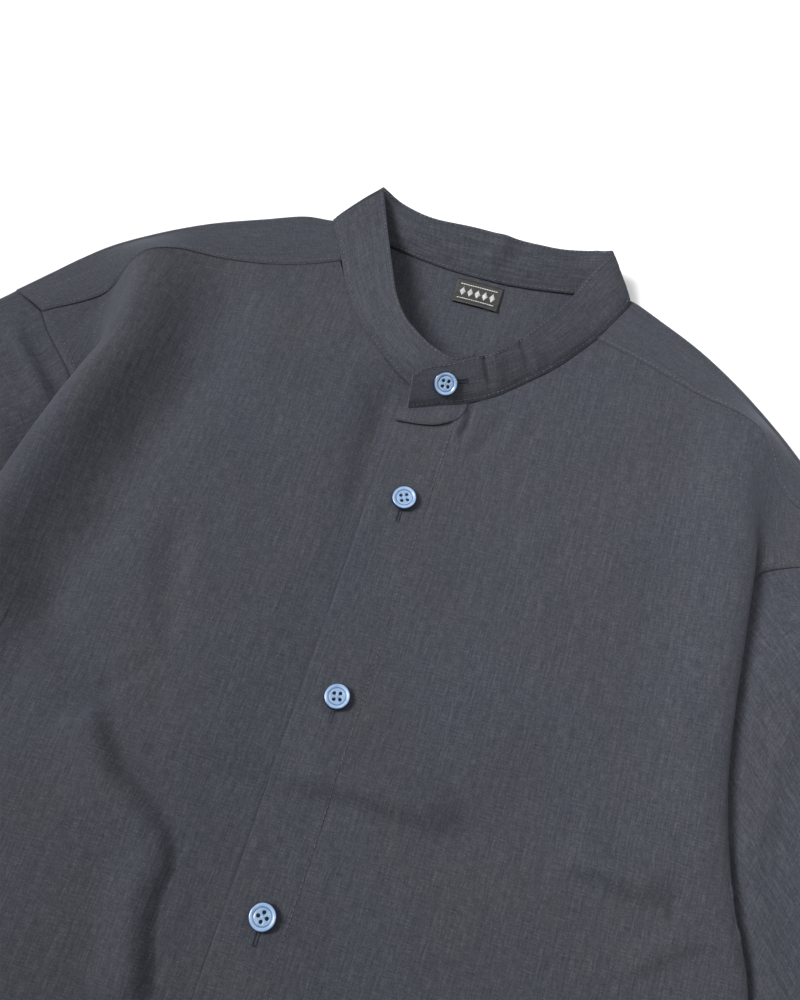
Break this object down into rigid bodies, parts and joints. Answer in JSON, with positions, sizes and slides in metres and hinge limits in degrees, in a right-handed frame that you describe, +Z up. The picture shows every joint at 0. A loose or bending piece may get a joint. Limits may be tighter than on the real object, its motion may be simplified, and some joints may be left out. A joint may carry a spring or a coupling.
{
  "type": "mandarin collar shirt, laid flat",
  "caption": "Long-sleeved shirt with a standing band collar and a buttoned front, laid flat and face up, in dark slub cotton.",
  "frame": {"origin": "centre of the shirt's box in plan, at the surface that it lies on", "axes": "+X to the wearer's left, +Y from the hem towards the collar, +Z up from the surface"},
  "size_m": [0.8934, 0.791, 0.0283],
  "materials": {
    "cloth": "dark navy plain weave with fine slubs, soft matte",
    "button": "pearly light blue with a darker rim",
    "label": "black woven label"
  },
  "bodies": {
    "root": {"back": "cloth", "yoke": "cloth", "front_right": "cloth", "front_left": "cloth", "sleeve_right": "cloth", "sleeve_left": "cloth", "cuff_right": "cloth", "cuff_left": "cloth", "collar": "cloth", "label": "label", "button_1": "button", "button_2": "button", "button_3": "button", "button_4": "button", "button_5": "button", "button_6": "button", "button_7": "button", "cuff_button_right": "button", "cuff_button_left": "button"}
  },
  "joints": []
}
